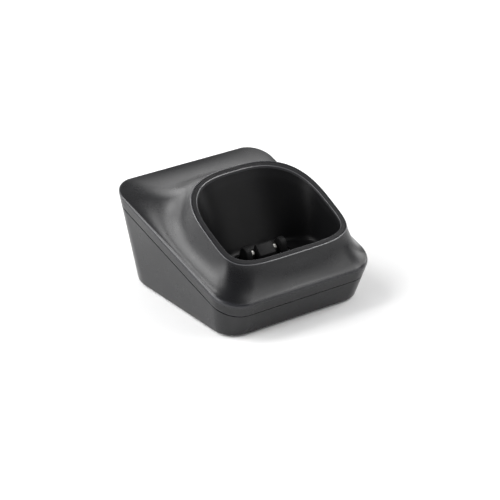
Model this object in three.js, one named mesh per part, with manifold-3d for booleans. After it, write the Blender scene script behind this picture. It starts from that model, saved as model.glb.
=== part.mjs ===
// Charging cradle for a cordless handset: a wedge-shaped plastic body with a leaning well for the
// handset, two sprung charging contacts in the well, and the charging electronics underneath.
// Millimetres. +X is to the right, +Y to the back, +Z up; the feet stand on z = 0.
import * as THREE from "three";
import { ParametricGeometry } from "three/addons/geometries/ParametricGeometry.js";
import { mergeVertices } from "three/addons/utils/BufferGeometryUtils.js";
import Module from "manifold-3d";

const wasm = await Module();
wasm.setup();

// ---- Driving dimensions ----

const FOOT_PROUD = 0.8; // underside of the housing above the table
const GAP = 0.3; // clearance between neighbouring mouldings
const SEAT = 0.05; // clearance where one piece rests on another

// Rounded outlines seen from above: the sharp outer edge of the body, and its underside.
const RIDGE = { front: -44.29, back: 43.71, halfFront: 40, halfBack: 40, rFront: 12, rBack: 10.3 };
const BASE = { front: -38.6, back: 42.4, halfFront: 36, halfBack: 35.4, rFront: 9.5, rBack: 18.6 };

// Slanted planes, z = level + slope * y: the outer edge, the split between cover and housing, the
// outer edge of the rim, and the inner edge of the rim where the well begins.
const RIDGE_PLANE = { level: 30.46, slope: 0.305 };
const PARTING_PLANE = { level: 24.51, slope: 0.316 };
const RIM_PLANE = { level: 49.74, slope: 0.501 };
const MOUTH_PLANE = { level: 49.36, slope: 0.478 };

// Superellipses about x = 0, y = WELL_Y: half width, depth to the front and back, and powers.
const WELL_Y = -20.29;
const RIM = { half: 32.34, front: 17.98, back: 28.53, powerFront: 4.4, powerBack: 2.82 };
const MOUTH = { half: 29.66, front: 16.2, back: 26.6, powerFront: 4.64, powerBack: 2.84 };
const FLOOR = { half: 26.2, front: 14.4, back: 12, powerFront: 4.8, powerBack: 3 };
const FLOOR_Z = 20.8; // top of the well's floor

// The flare that sweeps up from the outer edge to the rim: its slope in degrees, from the outer
// edge's plane at its start and from level at its end, the reach of each tangent as a share of its
// length, and the length of the rounding on the outer edge.
const FLARE = {
  front: { startSlope: 17.6, endSlope: 75.2, startReach: 0.344, endReach: 0.347, rounding: 3 },
  side: { startSlope: 18.1, endSlope: 77.7, startReach: 0.305, endReach: 0.328, rounding: 2.5 },
  back: { startSlope: 4, endSlope: 37, startReach: 0.4, endReach: 0.35, rounding: 1 },
};

// Walls
const COVER_WALL = 2.2;
const COVER_DROP = 2.5; // inside of the deck below the outer edge
const HOUSING_WALL = 2;
const HOUSING_FLOOR = 2;
const WELL_WALL = 1.4;
const WELL_FILLET = 2.5;
const TONGUE = { depth: 2, thickness: 1, root: 2.2 };
// Shares of the rim's width: the cover's lip, the insert's flange, the cover's ledge, the well wall.
const LIP_SHARE = 0.2;
const FLANGE_SHARE = 0.32;
const LEDGE_SHARE = 0.42;
const WELL_WALL_SHARE = 0.5;
const FLANGE_DEPTH = 1.3;
const LEDGE_DEPTH = 1.4;

// Fastening points, x to the left and right of the middle
const FRONT_SCREW = { x: 20, y: -22 };
const REAR_SCREW = { x: 27, y: 17 };
const FRONT_FOOT = { x: 27, y: -28.5 };
const REAR_FOOT = { x: 24.5, y: 30.5 };
const BOARD_SCREWS = [
  { name: "front", x: 12, y: -19.5 },
  { name: "rear", x: 12, y: 31 },
];
const BALLAST_SCREW = { x: 14, y: 6 };
const POST = { radius: 3.4, top: 10.7, hole: 1.6, counterbore: 2.7, seat: 4.8 };
const BOSS = { radius: 3, foot: 11, hole: 1.5, holeTop: 18.6 };
const BOARD_POST = { radius: 2.6, hole: 1.2, holeFoot: 4 };
const FOOT = { radius: 4, height: 1.75, recess: 1, chamfer: 0.3 };
const LABEL = { width: 34, depth: 16, recess: 0.35, thickness: 0.2, y: 5 };

// Board and what stands on it
const BOARD = { half: 15, front: -22.5, back: 39, bottom: 9, thickness: 1.6, corner: 1.5 };
const BOARD_TOP = BOARD.bottom + BOARD.thickness;
const BALLAST = { half: 21, front: -15, back: 26, thickness: 3.5, corner: 2 };
const JACK = { half: 4.5, front: 29.5, face: 42.6, height: 11, bore: 3, boreDepth: 9, axisLift: 5.8 };
const JACK_PIN = { radius: 1, root: 31.2, tip: 41.8 };

// Contact carrier and contacts, in the floor of the well
const CARRIER = { half: 12.8, front: -19.6, back: -9.8, top: 20.4 };
const CARRIER_FLANGE = { half: 14.2, front: -21, back: -2.6, bottom: 15.6, top: 19.2 };
const CARRIER_LEG = { x: 10.5, y: -6, radius: 1.5 };
const KEY = { half: 4.2, front: -18.2, noseTop: 22.9, crest: -14.5, top: 26.4, back: -11.8 };
const FIN = { inner: 7.7, outer: 10.6, y: -14.5, z: 22, halfLength: 3.1, height: 4.7 };
const CONTACT = { x: 6, width: 1.8, thickness: 0.3, slotWidth: 2.6, slotFront: -18.9, slotBack: -3.4 };
const TERMINAL = { width: 1.8, front: -5.9, back: -3.7, top: 16.95, padHeight: 0.5, padWidth: 3 };

// Stations around the body: the same number on each corner and each side.
const SPAN = 6;
const STATIONS = 8 * SPAN;

// ---- Materials ----

const material = (color, roughness, metalness = 0) =>
  new THREE.MeshStandardMaterial({ color, roughness, metalness });

const charcoal = material(0x3b3c3f, 0.42);
const black = material(0x18191b, 0.35);
const rubber = material(0x141414, 0.9);
const nickel = material(0xc9c6bd, 0.22, 1);
const zinc = material(0xa9adb2, 0.35, 1);
const brass = material(0xb5975a, 0.35, 1);
const steel = material(0x7d8084, 0.45, 1);
const boardGreen = material(0x1f4a2c, 0.55);
const ceramic = material(0x26262a, 0.6);
const canBlue = material(0x24304c, 0.45);
const resin = material(0x8a5a20, 0.6);
const paper = material(0xb9bbbd, 0.7);

// ---- Solids ----

// A closed surface as a solid, with its faces turned to point out.
function toSolid(geometry) {
  const bare = new THREE.BufferGeometry();
  bare.setAttribute("position", geometry.getAttribute("position"));
  bare.setIndex(geometry.index);
  const merged = mergeVertices(bare, 1e-4);
  const points = merged.getAttribute("position");
  const corners = [0, 1, 2].map(() => new THREE.Vector3());
  let triangles = [];
  let volume = 0;
  for (let i = 0; i < merged.index.count; i += 3) {
    const face = [0, 1, 2].map((k) => merged.index.getX(i + k));
    if (new Set(face).size < 3) continue;
    face.forEach((vertex, k) => corners[k].fromBufferAttribute(points, vertex));
    volume += corners[0].dot(corners[1].clone().cross(corners[2]));
    triangles.push(face);
  }
  if (volume < 0) triangles = triangles.map(([a, b, c]) => [a, c, b]);
  const mesh = new wasm.Mesh({
    numProp: 3,
    vertProperties: new Float32Array(points.array),
    triVerts: new Uint32Array(triangles.flat()),
  });
  return new wasm.Manifold(mesh);
}

// A solid as a surface with flat faces.
function toGeometry(solid) {
  const mesh = solid.getMesh();
  const geometry = new THREE.BufferGeometry();
  geometry.setAttribute("position", new THREE.BufferAttribute(mesh.vertProperties, 3));
  geometry.setIndex(new THREE.BufferAttribute(mesh.triVerts, 1));
  const faceted = geometry.toNonIndexed();
  faceted.computeVertexNormals();
  return faceted;
}

function box(x0, x1, y0, y1, z0, z1) {
  const geometry = new THREE.BoxGeometry(x1 - x0, y1 - y0, z1 - z0);
  geometry.translate((x0 + x1) / 2, (y0 + y1) / 2, (z0 + z1) / 2);
  return toSolid(geometry);
}

function uprightCylinder(x, y, z0, z1, radius, sides = 20) {
  const geometry = new THREE.CylinderGeometry(radius, radius, z1 - z0, sides);
  geometry.rotateX(Math.PI / 2);
  geometry.translate(x, y, (z0 + z1) / 2);
  return toSolid(geometry);
}

function cylinderAlongY(x, z, y0, y1, radius, sides = 24) {
  const geometry = new THREE.CylinderGeometry(radius, radius, y1 - y0, sides);
  geometry.translate(x, (y0 + y1) / 2, z);
  return toSolid(geometry);
}

// A rounded rectangle seen from above, extruded upwards.
function roundedPlate(x0, x1, y0, y1, z0, z1, radius) {
  const shape = new THREE.Shape();
  shape.moveTo(x0 + radius, y0);
  shape.lineTo(x1 - radius, y0);
  shape.absarc(x1 - radius, y0 + radius, radius, -Math.PI / 2, 0, false);
  shape.lineTo(x1, y1 - radius);
  shape.absarc(x1 - radius, y1 - radius, radius, 0, Math.PI / 2, false);
  shape.lineTo(x0 + radius, y1);
  shape.absarc(x0 + radius, y1 - radius, radius, Math.PI / 2, Math.PI, false);
  shape.lineTo(x0, y0 + radius);
  shape.absarc(x0 + radius, y0 + radius, radius, Math.PI, Math.PI * 1.5, false);
  const options = { depth: z1 - z0, bevelEnabled: false, curveSegments: 3 };
  const geometry = new THREE.ExtrudeGeometry(shape, options);
  geometry.translate(0, 0, z0);
  return toSolid(geometry);
}

// A side profile (its x is the part's Y, its y is the part's Z) extruded from x0 to x1.
function sideProfile(shape, x0, x1, curveSegments = 12) {
  const options = { depth: x1 - x0, bevelEnabled: false, curveSegments };
  const geometry = new THREE.ExtrudeGeometry(shape, options);
  geometry.rotateY(Math.PI / 2);
  geometry.rotateX(Math.PI / 2);
  geometry.translate(x0, 0, 0);
  return toSolid(geometry);
}

// A turned piece about the vertical line through x, y, from [radius, z] points.
function turned(profile, x, y, sides) {
  const points = profile.map(([radius, z]) => new THREE.Vector2(radius, z));
  const geometry = new THREE.LatheGeometry(points, sides);
  geometry.rotateX(Math.PI / 2);
  geometry.translate(x, y, 0);
  return toSolid(geometry);
}

const joined = (...solids) => solids.reduce((sum, solid) => sum.add(solid));
const cut = (solid, ...tools) => tools.reduce((rest, tool) => rest.subtract(tool), solid);

// ---- Outlines of the body ----

// A point on a rounded outline and the outward angle there. Spans run front-left corner, front,
// front-right corner, right, back-right corner, back, back-left corner, left.
function outlineAt(outline, station) {
  const cornerAt = (index) => {
    const isFront = index % 4 < 2;
    const radius = isFront ? outline.rFront : outline.rBack;
    const half = isFront ? outline.halfFront : outline.halfBack;
    const isLeft = index % 4 === 0 || index % 4 === 3;
    const x = (half - radius) * (isLeft ? -1 : 1);
    const y = isFront ? outline.front + radius : outline.back - radius;
    return (turn) => {
      const angle = Math.PI * (1 + turn / 2);
      return new THREE.Vector2(x + radius * Math.cos(angle), y + radius * Math.sin(angle));
    };
  };
  const span = Math.floor(station / SPAN) % 8;
  const share = (station % SPAN) / SPAN;
  const corner = Math.floor(span / 2);
  if (span % 2 === 0) {
    const turn = corner + share;
    return { point: cornerAt(corner)(turn), angle: Math.PI * (1 + turn / 2) };
  }
  const from = cornerAt(corner)(corner + 1);
  const to = cornerAt(corner + 1)(corner + 1);
  return { point: from.lerp(to, share), angle: Math.PI * (1 + (corner + 1) / 2) };
}

const onPlane = (plane, point, lift = 0) =>
  new THREE.Vector3(point.x, point.y, plane.level + plane.slope * point.y + lift);

// A point on a superellipse about the well's middle, in the direction of an angle.
function superellipseAt(shape, angle) {
  const isFront = Math.sin(angle) < 0;
  const power = isFront ? shape.powerFront : shape.powerBack;
  const across = Math.abs(Math.cos(angle)) / shape.half;
  const along = Math.abs(Math.sin(angle)) / (isFront ? shape.front : shape.back);
  const radius = (across ** power + along ** power) ** (-1 / power);
  return new THREE.Vector2(radius * Math.cos(angle), WELL_Y + radius * Math.sin(angle));
}

// Everything known about one station around the body.
function makeStation(index) {
  const ridgeOutline = outlineAt(RIDGE, index);
  const ridge = onPlane(RIDGE_PLANE, ridgeOutline.point);
  const basePoint = outlineAt(BASE, index).point;
  const base = new THREE.Vector3(basePoint.x, basePoint.y, FOOT_PROUD);
  const outward = new THREE.Vector3(Math.cos(ridgeOutline.angle), Math.sin(ridgeOutline.angle), 0);
  const angle = Math.atan2(ridge.y - WELL_Y, ridge.x);
  const radial = new THREE.Vector3(Math.cos(angle), Math.sin(angle), 0);
  const rim = onPlane(RIM_PLANE, superellipseAt(RIM, angle));
  const mouth = onPlane(MOUTH_PLANE, superellipseAt(MOUTH, angle));
  const floorPoint = superellipseAt(FLOOR, angle);
  const floor = new THREE.Vector3(floorPoint.x, floorPoint.y, FLOOR_Z);
  return { ridge, base, outward, angle, radial, rim, mouth, floor };
}

const stations = Array.from({ length: STATIONS }, (_, index) => makeStation(index));

// A flare value blended between front, side and back by direction.
function blended(station, key) {
  const lean = Math.sin(station.angle);
  const end = lean < 0 ? FLARE.front : FLARE.back;
  return end[key] * lean ** 2 + FLARE.side[key] * (1 - lean ** 2);
}

// The point on the slanted side wall at a plane, moved inwards by an inset.
function wallAt(station, plane, lift, inset) {
  const { base, ridge, outward } = station;
  const rise = ridge.z - base.z - plane.slope * (ridge.y - base.y);
  const share = (plane.level + lift + plane.slope * base.y - base.z) / rise;
  return base.clone().lerp(ridge, share).addScaledVector(outward, -inset);
}

// The flare's curve between two points of a station.
function flareCurve(station, from, to) {
  const length = from.distanceTo(to);
  const inward = new THREE.Vector3(to.x - from.x, to.y - from.y, 0).normalize();
  const rise = (key) => Math.tan(THREE.MathUtils.degToRad(blended(station, key)));
  const start = inward.clone().setZ(RIDGE_PLANE.slope * inward.y + rise("startSlope")).normalize();
  const end = inward.clone().setZ(rise("endSlope")).normalize();
  return new THREE.CubicBezierCurve3(
    from,
    from.clone().addScaledVector(start, length * blended(station, "startReach")),
    to.clone().addScaledVector(end, -length * blended(station, "endReach")),
    to,
  );
}

// A point on the rim's width, 0 at its outer edge and 1 at the mouth, lowered by a depth.
function rimAt(station, share, depth = 0) {
  const point = station.rim.clone().lerp(station.mouth, share);
  point.z -= depth;
  return point;
}

// A surface through one list of points per station. A closed section makes a ring; an open one
// starts and ends on points that all stations share.
function loft(sections, isRing) {
  const count = sections[0].length;
  const stacks = isRing ? count : count - 1;
  const place = (u, v, target) => {
    const section = sections[Math.round(u * STATIONS) % STATIONS];
    target.copy(section[Math.round(v * stacks) % count]);
  };
  return toSolid(new ParametricGeometry(place, STATIONS, stacks));
}

const FLARE_STEPS = 7;
const INNER_STEPS = 5;
const shares = (steps) => Array.from({ length: steps }, (_, k) => (k + 1) / steps);

const innerRidge = (station) => wallAt(station, RIDGE_PLANE, -COVER_DROP, COVER_WALL);
const ledgeFoot = (station) => rimAt(station, LEDGE_SHARE, FLANGE_DEPTH + LEDGE_DEPTH);
const innerFlare = (station) => flareCurve(station, innerRidge(station), ledgeFoot(station));

// ---- Mouldings ----

function coverSection(station) {
  const { ridge, base, rim } = station;
  const rounding = blended(station, "rounding");
  const flare = flareCurve(station, ridge, rim);
  const flareStart = rounding / (3 * blended(station, "startReach") * ridge.distanceTo(rim));
  const wallTop = ridge.clone().lerp(base, rounding / ridge.distanceTo(base));
  const edge = new THREE.QuadraticBezierCurve3(wallTop, ridge, flare.getPoint(flareStart));
  const inner = innerFlare(station);
  const tongueInset = HOUSING_WALL + GAP + TONGUE.thickness;
  return [
    wallAt(station, PARTING_PLANE, GAP / 2, 0),
    ...edge.getPoints(4),
    ...shares(FLARE_STEPS).map((share) => flare.getPoint(flareStart + (1 - flareStart) * share)),
    rimAt(station, LIP_SHARE),
    rimAt(station, LIP_SHARE, FLANGE_DEPTH),
    rimAt(station, LEDGE_SHARE, FLANGE_DEPTH),
    ledgeFoot(station),
    ...shares(INNER_STEPS).map((share) => inner.getPoint(1 - share)),
    wallAt(station, PARTING_PLANE, TONGUE.root, COVER_WALL),
    wallAt(station, PARTING_PLANE, TONGUE.root - TONGUE.thickness, tongueInset),
    wallAt(station, PARTING_PLANE, -TONGUE.depth, tongueInset),
    wallAt(station, PARTING_PLANE, -TONGUE.depth, HOUSING_WALL + GAP),
    wallAt(station, PARTING_PLANE, GAP / 2, HOUSING_WALL + GAP),
  ];
}

// The space under the middle of the deck's thickness, which trims the cover's screw bosses.
function underDeckSection(station) {
  const outer = flareCurve(station, station.ridge, station.rim);
  const inner = innerFlare(station);
  const middle = [0, ...shares(FLARE_STEPS)].map((share) =>
    outer.getPoint(share).lerp(inner.getPoint(share), 0.5),
  );
  const first = middle[0].clone().setZ(0);
  const last = middle[middle.length - 1].clone().setZ(0);
  return [first, ...middle, last];
}

function topCover() {
  const shell = loft(stations.map(coverSection), true);
  const underDeck = loft(stations.map(underDeckSection), true);
  const { x, y } = REAR_SCREW;
  const bosses = [-x, x].map((side) =>
    cut(
      uprightCylinder(side, y, BOSS.foot, RIM_PLANE.level, BOSS.radius).intersect(underDeck),
      uprightCylinder(side, y, BOSS.foot - 1, BOSS.holeTop, BOSS.hole, 12),
    ),
  );
  return joined(shell, ...bosses);
}

function insertSection(station) {
  const { floor, mouth, radial } = station;
  const wallLength = floor.distanceTo(mouth);
  const onWall = (distance) => floor.clone().lerp(mouth, distance / wallLength);
  const fillet = new THREE.QuadraticBezierCurve3(
    floor.clone().addScaledVector(radial, -WELL_FILLET),
    floor,
    onWall(WELL_FILLET),
  );
  const below = (outwards, depth) =>
    floor.clone().addScaledVector(radial, outwards).setZ(FLOOR_Z - depth);
  return [
    new THREE.Vector3(0, WELL_Y, FLOOR_Z),
    ...fillet.getPoints(3),
    onWall(wallLength * 0.5),
    onWall(wallLength - 0.4),
    rimAt(station, 0.9),
    rimAt(station, FLANGE_SHARE),
    rimAt(station, FLANGE_SHARE, FLANGE_DEPTH - SEAT * 2),
    rimAt(station, WELL_WALL_SHARE, FLANGE_DEPTH - SEAT * 2),
    onWall(wallLength * 0.4).addScaledVector(radial, WELL_WALL),
    below(WELL_WALL * 0.6, 0),
    below(-WELL_WALL, WELL_WALL),
    new THREE.Vector3(0, WELL_Y, FLOOR_Z - WELL_WALL),
  ];
}

function cradleInsert() {
  const cup = loft(stations.map(insertSection), false);
  const window = box(
    -CARRIER.half - GAP,
    CARRIER.half + GAP,
    CARRIER.front - GAP,
    CARRIER.back + GAP,
    FLOOR_Z - WELL_WALL - 1,
    FLOOR_Z + 1,
  );
  const { x, y } = FRONT_SCREW;
  const bosses = [-x, x].map((side) =>
    cut(
      uprightCylinder(side, y, BOSS.foot, FLOOR_Z - WELL_WALL / 2, BOSS.radius),
      uprightCylinder(side, y, BOSS.foot - 1, BOSS.holeTop, BOSS.hole, 12),
    ),
  );
  return joined(cut(cup, window), ...bosses);
}

function housingSection(station) {
  const { base, outward, ridge } = station;
  const edge = 0.6;
  const floorTop = { level: FOOT_PROUD + HOUSING_FLOOR, slope: 0 };
  return [
    new THREE.Vector3(0, 0, FOOT_PROUD),
    base.clone().addScaledVector(outward, -edge),
    base.clone().lerp(ridge, edge / (ridge.z - base.z)),
    wallAt(station, PARTING_PLANE, -GAP / 2, 0),
    wallAt(station, PARTING_PLANE, -GAP / 2, HOUSING_WALL),
    wallAt(station, floorTop, 1, HOUSING_WALL),
    wallAt(station, floorTop, 0, HOUSING_WALL + 1),
    new THREE.Vector3(0, 0, floorTop.level),
  ];
}

// Left and right copies of a solid made by a function of x.
const pair = (x, make) => [make(-x), make(x)];

function bottomHousing() {
  const tray = loft(stations.map(housingSection), false);
  const inFloor = FOOT_PROUD + HOUSING_FLOOR / 2;
  const cutBelow = FOOT_PROUD - 1;
  const screwPosts = [FRONT_SCREW, REAR_SCREW].flatMap((at) =>
    pair(at.x, (x) => uprightCylinder(x, at.y, inFloor, POST.top, POST.radius)),
  );
  const boardPosts = BOARD_SCREWS.flatMap((at) =>
    pair(at.x, (x) => uprightCylinder(x, at.y, inFloor, BOARD.bottom - SEAT, BOARD_POST.radius)),
  );
  const screwHoles = [FRONT_SCREW, REAR_SCREW].flatMap((at) => [
    ...pair(at.x, (x) => uprightCylinder(x, at.y, cutBelow, POST.top + 1, POST.hole, 12)),
    ...pair(at.x, (x) => uprightCylinder(x, at.y, cutBelow, POST.seat, POST.counterbore)),
  ]);
  const boardHoles = BOARD_SCREWS.flatMap((at) =>
    pair(at.x, (x) => uprightCylinder(x, at.y, BOARD_POST.holeFoot, BOARD.bottom + 1, BOARD_POST.hole, 12)),
  );
  const footRecesses = [FRONT_FOOT, REAR_FOOT].flatMap((at) =>
    pair(at.x, (x) =>
      uprightCylinder(x, at.y, cutBelow, FOOT_PROUD + FOOT.recess, FOOT.radius + GAP),
    ),
  );
  const ballastHoles = pair(BALLAST_SCREW.x, (x) =>
    uprightCylinder(x, BALLAST_SCREW.y, FOOT_PROUD + 0.7, FOOT_PROUD + HOUSING_FLOOR + 1, 1.4, 12),
  );
  const jackWindow = box(
    -JACK.half - GAP,
    JACK.half + GAP,
    JACK.face - 6,
    JACK.face + 3,
    BOARD_TOP - GAP,
    BOARD_TOP + JACK.height + 2 * GAP,
  );
  const labelRecess = roundedPlate(
    -LABEL.width / 2 - GAP,
    LABEL.width / 2 + GAP,
    LABEL.y - LABEL.depth / 2 - GAP,
    LABEL.y + LABEL.depth / 2 + GAP,
    cutBelow,
    FOOT_PROUD + LABEL.recess,
    1.5,
  );
  return cut(
    joined(tray, ...screwPosts, ...boardPosts),
    ...screwHoles,
    ...boardHoles,
    ...footRecesses,
    ...ballastHoles,
    jackWindow,
    labelRecess,
  );
}

// ---- Contacts ----

// The key between the contacts: up its nose, along its slope, and round its crest.
function keyProfile() {
  const { front, noseTop, crest, top, back } = KEY;
  const root = CARRIER.top - 1;
  const shape = new THREE.Shape();
  shape.moveTo(front, root);
  shape.lineTo(front, noseTop - 0.3);
  shape.quadraticCurveTo(front, noseTop, front + 0.25, noseTop + 0.22);
  shape.lineTo(crest - 0.8, top - 0.7);
  shape.quadraticCurveTo(crest, top, crest + 0.9, top - 0.4);
  shape.lineTo(back, CARRIER.top + 1);
  shape.lineTo(back, root);
  return shape;
}

// A guard fin outside each contact: upright sides under a rounded top.
function finProfile() {
  const { y, z, halfLength, height } = FIN;
  const shape = new THREE.Shape();
  shape.moveTo(y + halfLength, CARRIER.top - 1);
  shape.lineTo(y + halfLength, z);
  shape.absellipse(y, z, halfLength, height, 0, Math.PI, false, 0);
  shape.lineTo(y - halfLength, CARRIER.top - 1);
  return shape;
}

function contactCarrier() {
  const { half, front, back, bottom, top } = CARRIER_FLANGE;
  const flange = box(-half, half, front, back, bottom, top);
  const raised = box(-CARRIER.half, CARRIER.half, CARRIER.front, CARRIER.back, bottom, CARRIER.top);
  const key = sideProfile(keyProfile(), -KEY.half, KEY.half, 4);
  const fins = [
    sideProfile(finProfile(), -FIN.outer, -FIN.inner, 14),
    sideProfile(finProfile(), FIN.inner, FIN.outer, 14),
  ];
  const legs = pair(CARRIER_LEG.x, (x) =>
    uprightCylinder(x, CARRIER_LEG.y, BOARD_TOP + SEAT, bottom + 1, CARRIER_LEG.radius, 12),
  );
  const slots = pair(CONTACT.x, (x) =>
    box(
      x - CONTACT.slotWidth / 2,
      x + CONTACT.slotWidth / 2,
      CONTACT.slotFront,
      CONTACT.slotBack,
      bottom - 1,
      CARRIER.top + 1,
    ),
  );
  const block = joined(flange, raised, key, ...fins, ...legs);
  return cut(block, ...slots);
}

// The contact's middle line from its fixed root, over the arch that the handset presses, to its tail.
const contactLine = new THREE.SplineCurve(
  [
    [-3.9, 17.25],
    [-6.6, 17.25],
    [-9.1, 17.8],
    [-10.6, 20.2],
    [-11.6, 22.8],
    [-12.9, 24.3],
    [-14.4, 24],
    [-15.4, 22.6],
    [-15.5, 21],
    [-14.8, 19.8],
  ].map(([y, z]) => new THREE.Vector2(y, z)),
);

function chargeContact(x) {
  const steps = 26;
  const edge = (side) =>
    Array.from({ length: steps + 1 }, (_, k) => {
      const tangent = contactLine.getTangent(k / steps);
      const normal = new THREE.Vector2(-tangent.y, tangent.x);
      return contactLine.getPoint(k / steps).addScaledVector(normal, (side * CONTACT.thickness) / 2);
    });
  const shape = new THREE.Shape([...edge(1), ...edge(-1).reverse()]);
  return sideProfile(shape, x - CONTACT.width / 2, x + CONTACT.width / 2);
}

function contactTerminal(x) {
  const { width, front, back, top, padHeight, padWidth } = TERMINAL;
  const foot = BOARD_TOP + SEAT;
  return joined(
    box(x - width / 2, x + width / 2, front, back, foot, top),
    box(x - padWidth / 2, x + padWidth / 2, front - 0.6, back + 0.6, foot, foot + padHeight),
  );
}

// ---- Electronics ----

function circuitBoard() {
  const { half, front, back, bottom, corner } = BOARD;
  const plate = roundedPlate(-half, half, front, back, bottom, BOARD_TOP, corner);
  const holes = BOARD_SCREWS.flatMap((at) =>
    pair(at.x, (x) => uprightCylinder(x, at.y, bottom - 1, BOARD_TOP + 1, 1.6, 12)),
  );
  return cut(plate, ...holes);
}

// A part with a flat base standing on the board.
const onBoard = (x, y, width, depth, height) =>
  box(x - width / 2, x + width / 2, y - depth / 2, y + depth / 2, BOARD_TOP + SEAT, BOARD_TOP + height);

// A round can standing on the board, with its edges rounded off.
function canOnBoard(x, y, radius, height, edge) {
  const foot = BOARD_TOP + SEAT;
  const profile = [
    [0, foot],
    [radius, foot],
    [radius, foot + height - edge],
    [radius - edge, foot + height],
    [0, foot + height],
  ];
  return turned(profile, x, y, 20);
}

function controllerChip() {
  const legs = pair(2.6, (x) =>
    box(-6 + x - 0.6, -6 + x + 0.6, 6.2, 9.8, BOARD_TOP + SEAT, BOARD_TOP + 0.6),
  );
  return joined(onBoard(-6, 8, 4.2, 5, 1.6), ...legs);
}

function powerJack() {
  const { half, front, face, height, bore, boreDepth, axisLift } = JACK;
  const axis = BOARD_TOP + axisLift;
  return cut(
    box(-half, half, front, face, BOARD_TOP + SEAT, BOARD_TOP + height),
    cylinderAlongY(0, axis, face - boreDepth, face + 1, bore),
    cylinderAlongY(0, axis, JACK_PIN.root - GAP, face, JACK_PIN.radius + GAP, 16),
  );
}

const jackPin = () => {
  const axis = BOARD_TOP + JACK.axisLift;
  return cylinderAlongY(0, axis, JACK_PIN.root, JACK_PIN.tip, JACK_PIN.radius, 16);
};

// ---- Ballast, fasteners and feet ----

function ballastPlate() {
  const bottom = FOOT_PROUD + HOUSING_FLOOR + SEAT;
  const { half, front, back, thickness, corner } = BALLAST;
  const plate = roundedPlate(-half, half, front, back, bottom, bottom + thickness, corner);
  const holes = pair(BALLAST_SCREW.x, (x) =>
    uprightCylinder(x, BALLAST_SCREW.y, bottom - 1, bottom + thickness + 1, 1.6, 12),
  );
  return cut(plate, ...holes);
}

// A pan-head screw with a cross recess. Its head points down for direction -1 and up for 1, and
// the underside of the head is at z = seat.
function screw(x, y, seat, direction, length, headRadius, headHeight, radius) {
  const at = (distance) => seat + direction * distance;
  const profile = [
    [0, at(-length)],
    [radius * 0.4, at(-length)],
    [radius, at(-length + radius)],
    [radius, at(0)],
    [headRadius, at(0)],
    [headRadius, at(headHeight * 0.5)],
    [headRadius * 0.7, at(headHeight)],
    [0, at(headHeight)],
  ];
  const [low, high] = [at(headHeight * 0.4), at(headHeight + 1)].sort((a, b) => a - b);
  const reach = headRadius * 0.55;
  const blade = 0.3;
  return cut(
    turned(profile, x, y, 16),
    box(x - reach, x + reach, y - blade, y + blade, low, high),
    box(x - blade, x + blade, y - reach, y + reach, low, high),
  );
}

const caseScrew = (x, y) => screw(x, y, POST.seat - SEAT, -1, 12, 2.3, 1.7, 1.2);
const boardScrew = (x, y) => screw(x, y, BOARD_TOP + SEAT, 1, 5.5, 1.9, 1.4, 0.9);
const ballastScrew = (x, y) =>
  screw(x, y, FOOT_PROUD + HOUSING_FLOOR + BALLAST.thickness + 2 * SEAT, 1, 4.6, 2.3, 1.6, 1.1);

function rubberFoot(x, y) {
  const { radius, height, chamfer } = FOOT;
  const profile = [
    [0, 0],
    [radius - chamfer, 0],
    [radius, chamfer],
    [radius, height],
    [0, height],
  ];
  return turned(profile, x, y, 20);
}

function ratingLabel() {
  const { width, depth, recess, thickness, y } = LABEL;
  const top = FOOT_PROUD + recess - SEAT;
  return roundedPlate(-width / 2, width / 2, y - depth / 2, y + depth / 2, top - thickness, top, 1.2);
}

// ---- Assembly ----

const cradle = new THREE.Group();

function place(name, solid, itsMaterial) {
  const mesh = new THREE.Mesh(toGeometry(solid), itsMaterial);
  mesh.name = name;
  cradle.add(mesh);
}

// A left and a right copy, at -x and x.
function placePair(name, at, make, itsMaterial) {
  place(name + "_left", make(-at.x, at.y), itsMaterial);
  place(name + "_right", make(at.x, at.y), itsMaterial);
}

place("top_cover", topCover(), charcoal);
place("cradle_insert", cradleInsert(), black);
place("bottom_housing", bottomHousing(), charcoal);
place("contact_carrier", contactCarrier(), black);
placePair("charge_contact", CONTACT, chargeContact, nickel);
placePair("contact_terminal", CONTACT, contactTerminal, brass);

place("circuit_board", circuitBoard(), boardGreen);
place("charge_controller_chip", controllerChip(), ceramic);
place("smoothing_capacitor", canOnBoard(8, 14, 3.15, 7.7, 0.5), canBlue);
place("power_inductor", canOnBoard(-7, 19, 3.6, 3.8, 0.6), ceramic);
place("rectifier_diode", onBoard(8, 23, 4.4, 2.6, 2.2), ceramic);
place("resettable_fuse", onBoard(-8, 27, 4.6, 3.2, 1.3), resin);
place("sense_resistor_left", onBoard(-2, 0.5, 3.2, 1.6, 0.7), ceramic);
place("sense_resistor_right", onBoard(4, 0.5, 3.2, 1.6, 0.7), ceramic);
place("power_jack", powerJack(), black);
place("jack_pin", jackPin(), nickel);

place("ballast_plate", ballastPlate(), steel);
placePair("ballast_screw", BALLAST_SCREW, ballastScrew, zinc);
BOARD_SCREWS.forEach((at) => placePair("board_screw_" + at.name, at, boardScrew, zinc));
placePair("case_screw_front", FRONT_SCREW, caseScrew, zinc);
placePair("case_screw_rear", REAR_SCREW, caseScrew, zinc);
placePair("rubber_foot_front", FRONT_FOOT, rubberFoot, rubber);
placePair("rubber_foot_rear", REAR_FOOT, rubberFoot, rubber);
place("rating_label", ratingLabel(), paper);

export default cradle;
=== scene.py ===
"""Looks of the charging cradle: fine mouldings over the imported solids, materials, light and camera.

Lengths are in millimetres, with +X right, +Y back and +Z up, and become metres when a mesh is made.
"""

import math

import bmesh
import bpy
import numpy as np
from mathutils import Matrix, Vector
from mathutils.bvhtree import BVHTree
from mathutils.kdtree import KDTree


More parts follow.
